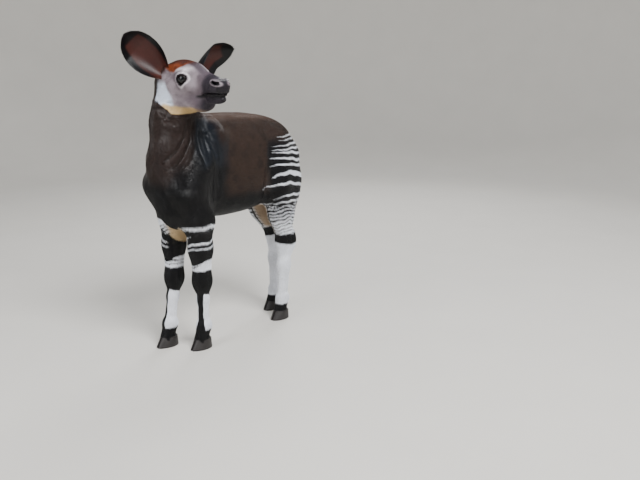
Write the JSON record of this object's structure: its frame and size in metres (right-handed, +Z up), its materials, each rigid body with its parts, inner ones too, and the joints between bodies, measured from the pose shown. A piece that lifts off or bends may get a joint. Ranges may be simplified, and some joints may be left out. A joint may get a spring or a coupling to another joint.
{
  "type": "okapi calf",
  "caption": "Life-size still model of a young okapi standing on four legs, head turned to its left, ears spread, tail hanging",
  "frame": {"origin": "on the floor, under the middle of the whole animal's box", "axes": "+Z up, the animal faces +X and its left side is +Y"},
  "size_m": [0.8194, 0.439, 1.171],
  "materials": {
    "body_coat": "short sleek dark brown coat",
    "face_coat": "short pale grey coat",
    "leg_coat": "short white coat banded with black",
    "ear_coat": "thin short dark coat",
    "horn": "dull dark horn",
    "eye": "wet glossy"
  },
  "bodies": {
    "root": {"torso": "body_coat", "neck": "body_coat", "head": "face_coat", "eye_left": "eye", "eye_right": "eye", "ear_left": "ear_coat", "ear_right": "ear_coat", "leg_fore_left": "leg_coat", "leg_fore_right": "leg_coat", "leg_hind_left": "leg_coat", "leg_hind_right": "leg_coat", "hoof_fore_left_outer": "horn", "hoof_fore_left_inner": "horn", "hoof_fore_right_outer": "horn", "hoof_fore_right_inner": "horn", "hoof_hind_left_outer": "horn", "hoof_hind_left_inner": "horn", "hoof_hind_right_outer": "horn", "hoof_hind_right_inner": "horn", "tail": "body_coat"}
  },
  "joints": []
}
